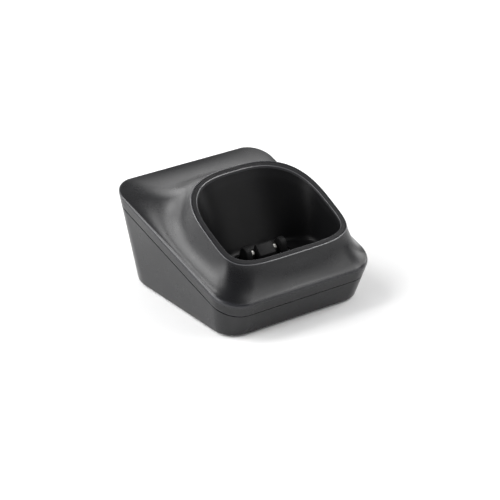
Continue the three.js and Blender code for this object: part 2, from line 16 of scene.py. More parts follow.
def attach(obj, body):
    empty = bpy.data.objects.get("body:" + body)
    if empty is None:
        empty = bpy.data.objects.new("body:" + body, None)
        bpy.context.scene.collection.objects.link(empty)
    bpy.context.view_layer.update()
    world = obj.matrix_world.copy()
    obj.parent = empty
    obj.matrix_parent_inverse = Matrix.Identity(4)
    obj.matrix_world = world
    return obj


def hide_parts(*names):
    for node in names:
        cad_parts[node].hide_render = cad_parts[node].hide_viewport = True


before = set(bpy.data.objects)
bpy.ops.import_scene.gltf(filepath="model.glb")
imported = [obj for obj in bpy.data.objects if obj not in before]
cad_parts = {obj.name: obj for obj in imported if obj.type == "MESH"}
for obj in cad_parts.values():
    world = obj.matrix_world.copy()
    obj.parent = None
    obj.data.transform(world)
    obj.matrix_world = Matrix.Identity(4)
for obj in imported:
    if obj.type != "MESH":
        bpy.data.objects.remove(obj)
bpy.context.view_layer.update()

MM = 0.001
PI = math.pi

# ---- Driving dimensions ----

# They are the solids' own, apart from the side gap, the finer roundings and the flange's share.
# A plane is its height at y = 0 and its slope towards the back.

FOOT_PROUD = 0.8
GAP = 0.3
SIDE_GAP = 0.2  # the split opens this much more at the sides
RIDGE = dict(front=-44.29, back=43.71, half_front=40, half_back=40, r_front=12, r_back=10.3)
BASE = dict(front=-38.6, back=42.4, half_front=36, half_back=35.4, r_front=9.5, r_back=18.6)
RIDGE_PLANE = (30.46, 0.305)
PARTING_PLANE = (24.51, 0.316)
RIM_PLANE = (49.74, 0.501)
MOUTH_PLANE = (49.36, 0.478)
WELL_Y = -20.29
RIM = dict(half=32.34, front=17.98, back=28.53, power_front=4.4, power_back=2.82)
MOUTH = dict(half=29.66, front=16.2, back=26.6, power_front=4.64, power_back=2.84)
FLOOR = dict(half=26.2, front=14.4, back=12, power_front=4.8, power_back=3)
FLOOR_Z = 20.8
# The flare from the outer edge up to the rim: its slopes in degrees, at the start from the ridge's
# plane and at the end from level, the reach of its tangents as shares of its length, and the
# rounding of the outer edge.
FLARE = dict(
    front=dict(start_slope=17.6, end_slope=75.2, start_reach=0.344, end_reach=0.347, rounding=1.8),
    side=dict(start_slope=18.1, end_slope=77.7, start_reach=0.305, end_reach=0.328, rounding=1.6),
    back=dict(start_slope=4.0, end_slope=37.0, start_reach=0.4, end_reach=0.35, rounding=1.0),
)
COVER_WALL, COVER_DROP, HOUSING_WALL, HOUSING_FLOOR = 2.2, 2.5, 2.0, 2.0
WELL_WALL, WELL_FILLET = 1.4, 2.5
TONGUE_DEPTH, TONGUE_THICKNESS, TONGUE_ROOT = 2.0, 1.0, 2.2
# Where the rim's steps lie, as shares of the way from the rim's outer edge to the mouth.
LIP_SHARE, FLANGE_SHARE, LEDGE_SHARE, WELL_WALL_SHARE = 0.2, 0.27, 0.42, 0.5
FLANGE_DEPTH, LEDGE_DEPTH = 1.3, 1.4
CASE_SCREWS = {"front": (20, -22), "rear": (27, 17)}
FEET = {"front": (27, -28.5), "rear": (24.5, 30.5)}
BOARD_SCREWS = [(12, -19.5), (12, 31)]
BALLAST_SCREW = (14, 6)
BOARD_BOTTOM, BOARD_TOP = 9.0, 10.6
WINDOW = dict(half=13.1, centre=-14.7, reach=5.2)
BOSS = dict(foot=11, radius=3, hole=1.5, hole_top=18.6)
POST_FOOT, POST_TOP, POST_RADIUS, BOARD_POST_RADIUS = 1.8, 10.7, 3.4, 2.6
BOARD_PILOT, BALLAST_PILOT = 1.2, 1.4
SEAT = dict(mouth=3.1, radius=2.7, shank=1.6, depth=4.8)
REST_GAP = 0.05  # between pieces that rest on each other
FOOT_RADIUS = 4
LABEL_RECESS = dict(half_x=17.3, half_y=8.3, radius=1.5, cx=0, cy=5)
CARRIER = dict(x=(-14.2, 14.2), y=(-21, -2.6), z=(15.6, 19.2))
CARRIER_DECK = dict(x=(-12.8, 12.8), y=(-19.6, -9.8), z=(15.8, 20.4))
CARRIER_LEG = (10.5, -6)
JACK_AXIS = BOARD_TOP + 5.8
JACK_WINDOW = dict(half_x=4.8, half_y=6.0, radius=0.5, cx=0, cy=JACK_AXIS - 0.1)

SPAN = 32  # stations on each corner and each side
STATIONS = 8 * SPAN


# ---- Stations around the body ----


def outline(shape):
    """Points on a rounded rectangle and the outward angle at each, starting at the front left corner."""

    def corner_point(corner, turn):
        end = "front" if corner < 2 else "back"
        radius = shape["r_" + end]
        side = -1 if corner in (0, 3) else 1
        x = side * (shape["half_" + end] - radius)
        y = shape[end] + (radius if corner < 2 else -radius)
        angle = PI * (1 + turn / 2)
        return np.array([x + radius * math.cos(angle), y + radius * math.sin(angle)])

    points, angles = [], []
    for corner in range(4):
        for k in range(SPAN):
            turn = corner + k / SPAN
            points.append(corner_point(corner, turn))
            angles.append(PI * (1 + turn / 2))
        start = corner_point(corner, corner + 1)
        stop = corner_point((corner + 1) % 4, corner + 1)
        for k in range(SPAN):
            points.append(start + (stop - start) * k / SPAN)
            angles.append(PI * (1 + (corner + 1) / 2))
    return np.array(points), np.array(angles)


def superellipse(shape, angle, centre_y=WELL_Y):
    """Points on a closed curve around a centre, squarer in front than at the back."""
    c, s = np.cos(angle), np.sin(angle)
    power = np.where(s < 0, shape["power_front"], shape["power_back"])
    depth = np.where(s < 0, shape["front"], shape["back"])
    radius = (np.abs(c / shape["half"]) ** power + np.abs(s / depth) ** power) ** (-1 / power)
    return np.stack([radius * c, centre_y + radius * s], axis=1)


def height(plane, y):
    """The height of a slanted plane at a y."""
    return plane[0] + plane[1] * y


def raised(points, plane):
    return np.column_stack([points, height(plane, points[:, 1])])


ridge_2d, outward_angle = outline(RIDGE)
ridge = raised(ridge_2d, RIDGE_PLANE)
base = raised(outline(BASE)[0], (FOOT_PROUD, 0))
outward = np.column_stack([np.cos(outward_angle), np.sin(outward_angle), np.zeros(STATIONS)])
angle = np.arctan2(ridge[:, 1] - WELL_Y, ridge[:, 0])
radial = np.column_stack([np.cos(angle), np.sin(angle), np.zeros(STATIONS)])
rim = raised(superellipse(RIM, angle), RIM_PLANE)
mouth = raised(superellipse(MOUTH, angle), MOUTH_PLANE)
floor_edge = raised(superellipse(FLOOR, angle), (FLOOR_Z, 0))


def length(vectors):
    """The length of each row's vector, as a column."""
    return np.linalg.norm(vectors, axis=1)[:, None]


def mix(a, b, share):
    return a + (b - a) * share


def blended(key):
    """A flare value at each station, blended between front, side and back by direction."""
    lean = np.sin(angle)
    end = np.where(lean < 0, FLARE["front"][key], FLARE["back"][key])
    return (end * lean**2 + FLARE["side"][key] * (1 - lean**2))[:, None]


def wall_at(plane, lift=0.0, inset=0.0):
    """Points on the slanted side wall at a plane, moved inwards by an inset."""
    level, slope = plane
    rise = ridge[:, 2] - base[:, 2] - slope * (ridge[:, 1] - base[:, 1])
    share = (level + lift + slope * base[:, 1] - base[:, 2]) / rise
    return mix(base, ridge, share[:, None]) - outward * inset


def bezier(points, t):
    """A quadratic or cubic Bezier curve at each station."""
    while len(points) > 1:
        points = [mix(a, b, t) for a, b in zip(points, points[1:])]
    return points[0]


def flare_handles(start, stop):
    """The four Bezier points of the flare at each station."""
    inward = (stop - start) * [1, 1, 0]
    inward = inward / length(inward)

    def along(gradient):
        return (inward + gradient * [0, 0, 1]) / np.sqrt(1 + gradient**2)

    def gradient(key):
        return np.tan(np.radians(blended(key)))

    reach = length(stop - start)
    deck = RIDGE_PLANE[1] * inward[:, 1:2]
    return [
        start,
        start + along(deck + gradient("start_slope")) * reach * blended("start_reach"),
        stop - along(gradient("end_slope")) * reach * blended("end_reach"),
        stop,
    ]


def rim_at(share, depth=0.0):
    """Points between the rim's outer edge and the mouth, and a depth below them."""
    return mix(rim, mouth, share) - [0, 0, depth]


def rounded(corners, steps=4):
    """A closed section from (points, radius) corners, each corner with a radius rounded off."""
    section = []
    for j, (point, radius) in enumerate(corners):
        if radius == 0:
            section.append(point)
            continue
        before = corners[j - 1][0] - point
        after = corners[(j + 1) % len(corners)][0] - point
        start = point + before * np.minimum(radius / length(before), 0.48)
        stop = point + after * np.minimum(radius / length(after), 0.48)
        section += [bezier([start, point, stop], k / steps) for k in range(steps + 1)]
    return section


# ---- Meshes ----


def make_mesh(name, vertices, faces):
    mesh = bpy.data.meshes.new(name)
    mesh.from_pydata([tuple(v) for v in np.asarray(vertices, float) * MM], [], faces)
    bm = bmesh.new()
    bm.from_mesh(mesh)
    bmesh.ops.remove_doubles(bm, verts=bm.verts, dist=1e-7)
    bmesh.ops.dissolve_degenerate(bm, edges=bm.edges, dist=1e-8)
    bmesh.ops.recalc_face_normals(bm, faces=bm.faces)
    bm.to_mesh(mesh)
    bm.free()
    thing = bpy.data.objects.new(name, mesh)
    bpy.context.scene.collection.objects.link(thing)
    return thing


def loft(name, rings, closed):
    """A solid through rings of points: closed joins the last ring to the first, else both ends get a lid."""
    rows, count = len(rings), len(rings[0])
    faces = []
    for j in range(rows if closed else rows - 1):
        low, high = j * count, (j + 1) % rows * count
        for i in range(count):
            k = (i + 1) % count
            faces.append((low + i, low + k, high + k, high + i))
    if not closed:
        faces.append(tuple(range(count)))
        faces.append(tuple(range((rows - 1) * count, rows * count)))
    return make_mesh(name, np.concatenate(rings), faces)


def turned(name, profile, x=0.0, y=0.0, z=0.0, sides=48, along="z"):
    """A turned solid from (radius, height) points; the profile starts and ends on the axis."""
    turn = np.arange(sides) * 2 * PI / sides
    rings = []
    for radius, height in profile:
        r = max(radius, 1e-4)
        ring = np.column_stack([r * np.cos(turn), r * np.sin(turn), np.full(sides, float(height))])
        if along == "y":
            ring = ring[:, [0, 2, 1]]
        rings.append(ring + [x, y, z])
    return loft(name, rings, closed=False)


def arc(cx, cy, radius, start, stop, steps=5):
    """Points on an arc between two angles in degrees, as (x, y) pairs."""
    turns = np.radians(np.linspace(start, stop, steps))
    return [(cx + radius * math.cos(a), cy + radius * math.sin(a)) for a in turns]


def prism(name, profile, low, high, axis="x"):
    """A solid from a flat profile: of (y, z) points along x, or of (x, y) points along z."""
    profile = np.array(profile, float)

    def ring(at):
        level = np.full((len(profile), 1), float(at))
        return np.hstack([level, profile]) if axis == "x" else np.hstack([profile, level])

    return loft(name, [ring(low), ring(high)], closed=False)


def block(name, x, y, z):
    corners = [(x[0], y[0]), (x[1], y[0]), (x[1], y[1]), (x[0], y[1])]
    return prism(name, corners, z[0], z[1], axis="z")


def round_rect(half_x, half_y, radius, cx=0.0, cy=0.0):
    spots = [(1, -1, -90), (1, 1, 0), (-1, 1, 90), (-1, -1, 180)]
    points = []
    for sx, sy, start in spots:
        centre = (cx + sx * (half_x - radius), cy + sy * (half_y - radius))
        points += arc(*centre, radius, start, start + 90, 7)
    return points


def column(name, at, z0, z1, radius, sides=40):
    return turned(name, [(0, z0), (radius, z0), (radius, z1), (0, z1)], *at, sides=sides)


def baked(thing):
    """Applies the object's modifiers to its mesh."""
    bpy.context.view_layer.update()
    graph = bpy.context.evaluated_depsgraph_get()
    mesh = bpy.data.meshes.new_from_object(thing.evaluated_get(graph))
    thing.modifiers.clear()
    thing.data = mesh
    return thing


def combine(thing, operation, tools):
    """Boolean of one object with several, which are used up."""
    for tool in tools:
        modifier = thing.modifiers.new("cut", "BOOLEAN")
        modifier.operation = operation
        modifier.solver = "EXACT"
        modifier.object = tool
    baked(thing)
    for tool in tools:
        bpy.data.objects.remove(tool, do_unlink=True)
    return thing


def bevel(thing, width, segments=2, degrees=50):
    modifier = thing.modifiers.new("bevel", "BEVEL")
    modifier.width = width * MM
    modifier.segments = segments
    modifier.limit_method = "ANGLE"
    modifier.angle_limit = math.radians(degrees)
    modifier.harden_normals = False
    return baked(thing)


def finish_piece(thing, body, material, replaces=(), smooth=32):
    """Smooths a piece, gives it its material, attaches it to its body and hides the CAD nodes it stands for.
    """
    for polygon in thing.data.polygons:
        polygon.use_smooth = True
    thing.data.set_sharp_from_angle(angle=math.radians(smooth))
    thing.data.materials.clear()
    thing.data.materials.append(material)
    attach(thing, body)
    if replaces:
        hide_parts(*replaces)
    return thing


def paint(thing, material, chosen):
    """Gives the faces that are chosen a second material."""
    thing.data.materials.append(material)
    for polygon in thing.data.polygons:
        if chosen(polygon):
            polygon.material_index = 1


def paint_near(thing, curve, reach, material):
    """Gives the faces that lie within reach of a closed curve a second material."""
    middles = mix(curve, np.roll(curve, -1, axis=0), 0.5)
    tree = KDTree(len(middles))
    for index, point in enumerate(middles):
        tree.insert(Vector(point) * MM, index)
    tree.balance()
    paint(thing, material, lambda polygon: tree.find(polygon.center)[2] < reach * MM)


def pair(at):
    """A left and a right copy of a point, each with the name of its side."""
    return [("left", (-at[0], at[1])), ("right", at)]


# ---- Materials ----


def shader(name):
    """A new node material, its tree, its Principled shader and a helper that adds and wires nodes."""
    material = bpy.data.materials.new(name)
    material.use_nodes = True
    tree = material.node_tree
    principled = tree.nodes["Principled BSDF"]

    def add(kind, inputs=None, **settings):
        node = tree.nodes.new(kind)
        for key, value in settings.items():
            setattr(node, key, value)
        for key, value in (inputs or {}).items():
            if isinstance(value, bpy.types.NodeSocket):
                tree.links.new(value, node.inputs[key])
            else:
                node.inputs[key].default_value = value
        return node

    return material, tree, principled, add


def noise(add, where, scale, detail=3.0, roughness=0.5):
    """Soft noise at a place; the scale is one over the size of its grain in metres."""
    node = add(
        "ShaderNodeTexNoise",
        {"Vector": where, "Scale": scale, "Detail": detail, "Roughness": roughness},
    )
    return node.outputs["Fac"]


def spread(add, value, low, high, from_low=0.3, from_high=0.7):
    """A value spread from one range over another; the first is where most of a noise lies."""
    node = add(
        "ShaderNodeMapRange",
        {"Value": value, "From Min": from_low, "From Max": from_high, "To Min": low, "To Max": high},
    )
    return node.outputs["Result"]


def total(add, a, b):
    return add("ShaderNodeMath", {0: a, 1: b}, operation="ADD").outputs[0]


def product(add, a, b):
    return add("ShaderNodeMath", {0: a, 1: b}, operation="MULTIPLY").outputs[0]


def scaled_colour(add, colour, factor):
    """A colour times a factor that varies over the surface."""
    node = add("ShaderNodeVectorMath", {0: colour, "Scale": factor}, operation="SCALE")
    return node.outputs["Vector"]


def moulded_plastic(name, colour, roughness, grain=0.35, depth=0.012, specular=0.5, edge_wear_and_sheen=0.0, polish=0.0):
    """Moulded plastic: spark-eroded grain, soft mottling of gloss and tone, lighter and glossier edges.

    The edge lightening argument is how much lighter an edge is, a painted highlight along the rounded edges
    that is partly wear; polish is the share of its roughness that it has lost.
    """
    material, tree, principled, add = shader(name)
    where = add("ShaderNodeTexCoord").outputs["Object"]
    fine = noise(add, where, 1 / (grain * MM), 2.0, 0.55)
    mottle = noise(add, where, 1 / (9 * MM), 3.0, 0.6)
    cloud = noise(add, where, 1 / (38 * MM), 2.0, 0.5)
    edge = add("ShaderNodeNewGeometry").outputs["Pointiness"]
    edge_mask = spread(add, edge, 0.0, 1.0, 0.505, 0.52)
    # Lighter edges: a painted highlight along the rounded edges, partly wear.
    edge_wear_and_sheen_tone = product(add, edge_mask, spread(add, mottle, 0.6 * edge_wear_and_sheen, edge_wear_and_sheen))
    tone = total(add, spread(add, cloud, 0.95, 1.05), edge_wear_and_sheen_tone)
    tree.links.new(scaled_colour(add, colour, tone), principled.inputs["Base Color"])
    texture = total(add, spread(add, mottle, -0.025, 0.025), spread(add, fine, -0.03, 0.03))
    gloss = total(add, texture, spread(add, edge_mask, roughness, (1 - polish) * roughness, 0, 1))
    tree.links.new(gloss, principled.inputs["Roughness"])
    bump = add("ShaderNodeBump", {"Strength": 0.5, "Distance": depth * MM, "Height": fine})
    tree.links.new(bump.outputs["Normal"], principled.inputs["Normal"])
    principled.inputs["Specular IOR Level"].default_value = specular
    return material


def plated_metal(name, colour, roughness, scratch=0.25, tarnish=0.12):
    """Plated or rolled metal: fine scratches along the part, tone that drifts, gloss that varies."""
    material, tree, principled, add = shader(name)
    where = add("ShaderNodeTexCoord").outputs["Object"]
    along = add("ShaderNodeMapping", {"Vector": where, "Scale": (6, 1, 6)}).outputs["Vector"]
    scratches = noise(add, along, 1 / (scratch * MM), 3.0, 0.6)
    drift = noise(add, where, 1 / (2.5 * MM), 3.0, 0.6)
    tone = spread(add, drift, 1 - tarnish, 1.0)
    tree.links.new(scaled_colour(add, colour, tone), principled.inputs["Base Color"])
    rubbing = spread(add, scratches, roughness - 0.05, roughness + 0.07)
    tree.links.new(total(add, rubbing, spread(add, drift, 0.04, -0.02)), principled.inputs["Roughness"])
    bump = add("ShaderNodeBump", {"Strength": 0.3, "Distance": 0.004 * MM, "Height": scratches})
    tree.links.new(bump.outputs["Normal"], principled.inputs["Normal"])
    principled.inputs["Metallic"].default_value = 1.0
    return material


def rubber_like(name, colour, roughness=0.85):
    """Moulded rubber: open grain, dull, with patches of dust."""
    material, tree, principled, add = shader(name)
    where = add("ShaderNodeTexCoord").outputs["Object"]
    fine = noise(add, where, 1 / (0.3 * MM), 4.0, 0.6)
    dust = noise(add, where, 1 / (3 * MM), 3.0, 0.6)
    tone = spread(add, dust, 0.85, 1.6)
    tree.links.new(scaled_colour(add, colour, tone), principled.inputs["Base Color"])
    gloss = spread(add, fine, roughness - 0.08, min(1.0, roughness + 0.08))
    tree.links.new(gloss, principled.inputs["Roughness"])
    bump = add("ShaderNodeBump", {"Strength": 0.6, "Distance": 0.03 * MM, "Height": fine})
    tree.links.new(bump.outputs["Normal"], principled.inputs["Normal"])
    return material


def laminate(name, colour, track):
    """Circuit board: solder mask over a faint grid of tracks, with a woven glass texture under it."""
    material, tree, principled, add = shader(name)
    where = add("ShaderNodeTexCoord").outputs["Object"]
    tracks = add(
        "ShaderNodeTexBrick",
        {"Vector": where, "Scale": 1 / (2.6 * MM), "Mortar Size": 0.06, "Mortar Smooth": 0.3},
    ).outputs["Fac"]
    weave = add(
        "ShaderNodeTexWave", {"Vector": where, "Scale": 1 / (3.2 * MM), "Distortion": 0.4}
    ).outputs["Fac"]
    paint = add("ShaderNodeMix", {"Factor": tracks, 6: (*colour, 1), 7: (*track, 1)}, data_type="RGBA")
    tree.links.new(paint.outputs[2], principled.inputs["Base Color"])
    tree.links.new(spread(add, weave, 0.38, 0.5, 0, 1), principled.inputs["Roughness"])
    bump = add("ShaderNodeBump", {"Strength": 0.4, "Distance": 0.02 * MM, "Height": tracks})
    tree.links.new(bump.outputs["Normal"], principled.inputs["Normal"])
    return material


BODY_COLOUR = (0.0080, 0.0081, 0.0093)
FINE = dict(grain=0.25, depth=0.004)  # the smoother mould texture in and around the well
# The body's edges come out up to five times lighter: a painted highlight for the thin bright lines along its
# edges, partly wear.
body_plastic = moulded_plastic("body_plastic", BODY_COLOUR, 0.3, specular=0.38, edge_wear_and_sheen=4, polish=0.45)
housing_plastic = moulded_plastic("housing_plastic", BODY_COLOUR, 0.3, specular=0.38)
rim_plastic = moulded_plastic("rim_plastic", (0.017, 0.017, 0.018), 0.5, specular=0.12, edge_wear_and_sheen=0.5, **FINE)
# A lighter, glossier plastic laid on the rim's and the mouth's rounded edges: a painted highlight for the
# thin bright lines there.
rim_edge_painted_highlight = moulded_plastic("rim_edge_painted_highlight", (0.085, 0.085, 0.09), 0.2, **FINE)
# A darker, duller plastic on the faces inside the split: painted shade, so that the split reads as a dark
# line.
split_painted_shade = moulded_plastic("split_painted_shade", (0.003, 0.003, 0.003), 0.8, specular=0.05)
# Darker than the body plastic: painted shade for the dark inside of the well.
well_plastic = moulded_plastic("well_plastic", (0.006, 0.006, 0.0064), 0.34, specular=0.09, edge_wear_and_sheen=0.5, **FINE)
carrier_plastic = moulded_plastic(
    "carrier_plastic", (0.008, 0.008, 0.0084), 0.5, grain=0.25, depth=0.006, specular=0.12, edge_wear_and_sheen=0.5
)
jack_plastic = moulded_plastic("jack_plastic", (0.02, 0.02, 0.021), 0.45, grain=0.3, edge_wear_and_sheen=0.5)
resin = moulded_plastic("component_resin", (0.03, 0.03, 0.034), 0.55, grain=0.2, edge_wear_and_sheen=0.5)
sleeve = moulded_plastic("capacitor_sleeve", (0.05, 0.08, 0.18), 0.3, grain=0.5, depth=0.005, edge_wear_and_sheen=0.3)
dipped = moulded_plastic("fuse_resin", (0.42, 0.24, 0.06), 0.45, grain=0.5, edge_wear_and_sheen=0.2)
film = moulded_plastic("label_film", (0.42, 0.43, 0.44), 0.4, grain=0.5, depth=0.004, edge_wear_and_sheen=0.1)
# Much darker than bright nickel: painted shade for the dark well that the contacts reflect, which also damps
# their glints.
shade_darkened_nickel = plated_metal("contact_nickel", (0.15, 0.147, 0.14), 0.26)
brass = plated_metal("terminal_brass", (0.71, 0.55, 0.3), 0.3)
zinc = plated_metal("zinc_screw", (0.62, 0.63, 0.65), 0.32)
steel = plated_metal("ballast_steel", (0.38, 0.39, 0.41), 0.42, tarnish=0.3)
foot_rubber = rubber_like("foot_rubber", (0.018, 0.018, 0.018))
board = laminate("board_laminate", (0.02, 0.09, 0.04), (0.05, 0.17, 0.08))


# ---- Cover ----

FLARE_STEPS, INNER_STEPS, EDGE_STEPS = 34, 10, 10

ledge_foot = rim_at(LEDGE_SHARE, FLANGE_DEPTH + LEDGE_DEPTH)
inner_handles = flare_handles(wall_at(RIDGE_PLANE, -COVER_DROP, COVER_WALL), ledge_foot)


def cover_rings():
    """The cover's section at each station: wall, flare, lip, ledge, then the underside and the tongue."""
    split_lift = GAP / 2 + SIDE_GAP * outward[:, 0] ** 2
    rounding = blended("rounding")
    handles = flare_handles(ridge, rim)
    flare_start = rounding / (3 * blended("start_reach") * length(rim - ridge))
    wall_top = mix(ridge, base, rounding / length(base - ridge))
    edge = [wall_top, ridge, bezier(handles, flare_start)]
    tongue = HOUSING_WALL + GAP + TONGUE_THICKNESS
    wall_foot = wall_at(PARTING_PLANE, split_lift)
    corners = [(wall_foot, 0.15)]
    corners += [(mix(wall_foot, wall_top, share), 0) for share in (0.1, 0.5, 0.9)]
    corners += [(bezier(edge, k / EDGE_STEPS), 0) for k in range(EDGE_STEPS + 1)]
    for k in range(1, FLARE_STEPS):
        corners.append((bezier(handles, mix(flare_start, 1, k / FLARE_STEPS)), 0))
    corners += [
        (rim, 0.45),
        (rim_at(LIP_SHARE), 0.12),
        (rim_at(LIP_SHARE, FLANGE_DEPTH), 0),
        (rim_at(LEDGE_SHARE, FLANGE_DEPTH), 0),
        (ledge_foot, 0),
    ]
    for k in range(1, INNER_STEPS + 1):
        corners.append((bezier(inner_handles, 1 - k / INNER_STEPS), 0))
    corners += [
        (wall_at(PARTING_PLANE, TONGUE_ROOT, COVER_WALL), 0),
        (wall_at(PARTING_PLANE, TONGUE_ROOT - TONGUE_THICKNESS, tongue), 0),
        (wall_at(PARTING_PLANE, -TONGUE_DEPTH, tongue), 0.25),
        (wall_at(PARTING_PLANE, -TONGUE_DEPTH, HOUSING_WALL + GAP), 0.25),
        (wall_at(PARTING_PLANE, split_lift, HOUSING_WALL + GAP), 0),
    ]
    return rounded(corners)


def screw_boss(name, at, top):
    """A round post with a blind hole from below."""
    post = column(name, at, BOSS["foot"], top, BOSS["radius"])
    hole = column("hole", at, BOSS["foot"] - 1, BOSS["hole_top"], BOSS["hole"])
    return combine(post, "DIFFERENCE", [hole])


def hanging_boss(name, at, under):
    """A rear boss whose top follows the underside of the deck and runs 0.8 mm into it."""
    top = 22
    post = screw_boss(name, at, top)
    tree = BVHTree.FromObject(under, bpy.context.evaluated_depsgraph_get())
    for vertex in post.data.vertices:
        if vertex.co.z > (top - 0.1) * MM:
            hit = tree.ray_cast(Vector((vertex.co.x, vertex.co.y, 0.02)), Vector((0, 0, 1)))[0]
            vertex.co.z = hit.z + 0.8 * MM
    return post


cover = loft("cover_shell", cover_rings(), closed=True)
bosses = [hanging_boss("boss_" + side, at, cover) for side, at in pair(CASE_SCREWS["rear"])]
combine(cover, "UNION", bosses)
finish_piece(cover, "base", body_plastic, ["top_cover"])
# Painted highlight: a lighter, glossier band along the rim's outer edge.
paint_near(cover, rim, 0.24, rim_edge_painted_highlight)


# ---- Well ----


def window_edge(depth):
    """The window's nearly square edge, at a depth below the well's floor."""
    reach = WINDOW["reach"]
    shape = dict(half=WINDOW["half"], front=reach, back=reach, power_front=18, power_back=18)
    return raised(superellipse(shape, angle, WINDOW["centre"]), (FLOOR_Z - depth, 0))


def well_rings():
    """The cup's section at each station: floor and wall inside, then down the outside to the window."""
    wall = mouth - floor_edge
    reach = length(wall)

    def on_wall(distance):
        return floor_edge + wall * distance / reach

    fillet = [floor_edge - radial * WELL_FILLET, floor_edge, on_wall(WELL_FILLET)]
    shoulder = reach - 1.2
    corners = [(window_edge(0), 0.3)]
    corners += [(bezier(fillet, k / 10), 0) for k in range(11)]
    corners += [(on_wall(mix(WELL_FILLET, shoulder, k / 8)), 0) for k in range(1, 9)]
    corners += [
        (rim_at(WELL_WALL_SHARE, FLANGE_DEPTH), 0),
        (on_wall(reach * 0.4) + radial * WELL_WALL, 0),
        (floor_edge + radial * WELL_WALL * 0.6, 0.6),
        (floor_edge - radial * WELL_WALL - [0, 0, WELL_WALL], 0.6),
        (window_edge(WELL_WALL), 0),
    ]
    return rounded(corners)


def well_rim_rings():
    """The flange that closes the rim, which carries the softly rounded edge of the well's mouth."""
    wall = mouth - floor_edge
    under = FLANGE_DEPTH - 0.1
    return rounded(
        [
            (mouth - wall * 1.1 / length(wall), 0),
            (mouth, 0.22),
            (rim_at(FLANGE_SHARE), 0.15),
            (rim_at(FLANGE_SHARE, under), 0),
            (rim_at(WELL_WALL_SHARE, under), 0),
        ]
    )


well = loft("well_cup", well_rings(), closed=True)
boss_top = FLOOR_Z - WELL_WALL / 2
bosses = [screw_boss("boss_" + side, at, boss_top) for side, at in pair(CASE_SCREWS["front"])]
combine(well, "UNION", bosses)
finish_piece(well, "base", well_plastic, ["cradle_insert"])
well_rim = loft("well_rim", well_rim_rings(), closed=True)
finish_piece(well_rim, "base", rim_plastic)
# Painted highlight: a lighter, glossier band along the mouth's edge.
paint_near(well_rim, mouth, 0.2, rim_edge_painted_highlight)


# ---- Housing ----


def housing_rings():
    """Rings from the underside's edge up the wall, over its lip and down to the inner floor."""
    edge = 0.9
    toward_wall = (ridge - base) / length(ridge - base)
    floor_top = (FOOT_PROUD + HOUSING_FLOOR, 0)
    corner = [base - outward * edge, base, base + toward_wall * edge]
    rings = [bezier(corner, k / 6) for k in range(7)]
    top = wall_at(PARTING_PLANE, -GAP / 2)
    rings += [mix(rings[-1], top, share) for share in (0.3, 0.6, 0.9, 0.97)]
    inner_top = wall_at(PARTING_PLANE, -GAP / 2, HOUSING_WALL)
    inner_foot = wall_at(floor_top, 0, HOUSING_WALL)
    down, across = (rings[-1] - top), (inner_top - top)
    lip = [top + down / length(down) * 0.15, top, top + across / length(across) * 0.15]
    rings += [bezier(lip, k / 4) for k in range(5)]
    rings.append(inner_top)
    foot = [mix(inner_foot, inner_top, 0.06), inner_foot, inner_foot - outward * 1.2]
    rings += [bezier(foot, k / 4) for k in range(5)]
    return rings


def flat_ring(profile, y):
    """A ring of (x, z) points at one y."""
    return np.array([(x, y, z) for x, z in profile], float)


def housing_cutters():
    """Everything taken out of the housing: screw seats, foot recesses, label recess, jack window."""
    mouth_radius, radius, shank, depth = SEAT.values()
    seat = [(0, -1), (mouth_radius, -1), (mouth_radius, 0.8), (radius, 1.2)]
    seat += [(radius, depth), (shank, depth), (shank, 12), (0, 12)]
    tools = []
    for at in CASE_SCREWS.values():
        tools += [turned("seat_" + side, seat, *spot) for side, spot in pair(at)]
    for at in FEET.values():
        for side, spot in pair(at):
            tools.append(column("recess_" + side, spot, -1, FOOT_PROUD + 1, FOOT_RADIUS + GAP, 64))
    for at in BOARD_SCREWS:
        tools += [column("pilot_" + side, spot, 4, 10, BOARD_PILOT) for side, spot in pair(at)]
    tools += [column("pilot_" + side, spot, 1.5, 4, BALLAST_PILOT) for side, spot in pair(BALLAST_SCREW)]
    recess = round_rect(**LABEL_RECESS)
    tools.append(prism("label_recess", recess, -1, FOOT_PROUD + 0.35, axis="z"))
    opening = round_rect(**JACK_WINDOW)
    tools.append(loft("jack_window", [flat_ring(opening, y) for y in (36.5, 46)], closed=False))
    return tools


def at_split(polygon):
    """Whether a face looks up and lies in the split."""
    split = height(PARTING_PLANE, polygon.center.y / MM) * MM
    return polygon.normal.z > 0.8 and abs(polygon.center.z - split) < 0.5 * MM


housing = loft("lower_housing", housing_rings(), closed=False)
posts = []
for at in CASE_SCREWS.values():
    posts += [column("post_" + side, spot, POST_FOOT, POST_TOP, POST_RADIUS) for side, spot in pair(at)]
for at in BOARD_SCREWS:
    for side, spot in pair(at):
        top = BOARD_BOTTOM - REST_GAP
        posts.append(column("post_" + side, spot, POST_FOOT, top, BOARD_POST_RADIUS))
combine(housing, "UNION", posts)
combine(housing, "DIFFERENCE", housing_cutters())
finish_piece(housing, "base", housing_plastic, ["bottom_housing"])
# Painted shade: the upward faces in the split get the darker, duller plastic.
paint(housing, split_painted_shade, at_split)


# ---- Contact carrier ----

SLOT_X, SLOT_HALF, SLOT_Y = 6.0, 1.3, (-18.9, -3.4)
KEY_HALF, FIN_NEAR, FIN_FAR = 4.2, 7.7, 10.6
ROW_FOOT = 20.3  # where the key and the fins start, just inside the deck

carrier = block("carrier_block", **CARRIER)
deck = block("deck", **CARRIER_DECK)
leg_foot = BOARD_TOP + REST_GAP
legs = [column("leg_" + side, at, leg_foot, 16, 1.5) for side, at in pair(CARRIER_LEG)]
combine(carrier, "UNION", [deck, *legs])
slots = [
    block("slot", (x - SLOT_HALF, x + SLOT_HALF), SLOT_Y, (14, 22)) for x in (-SLOT_X, SLOT_X)
]
combine(carrier, "DIFFERENCE", slots)
bevel(carrier, 0.15)
finish_piece(carrier, "base", carrier_plastic, ["contact_carrier"])

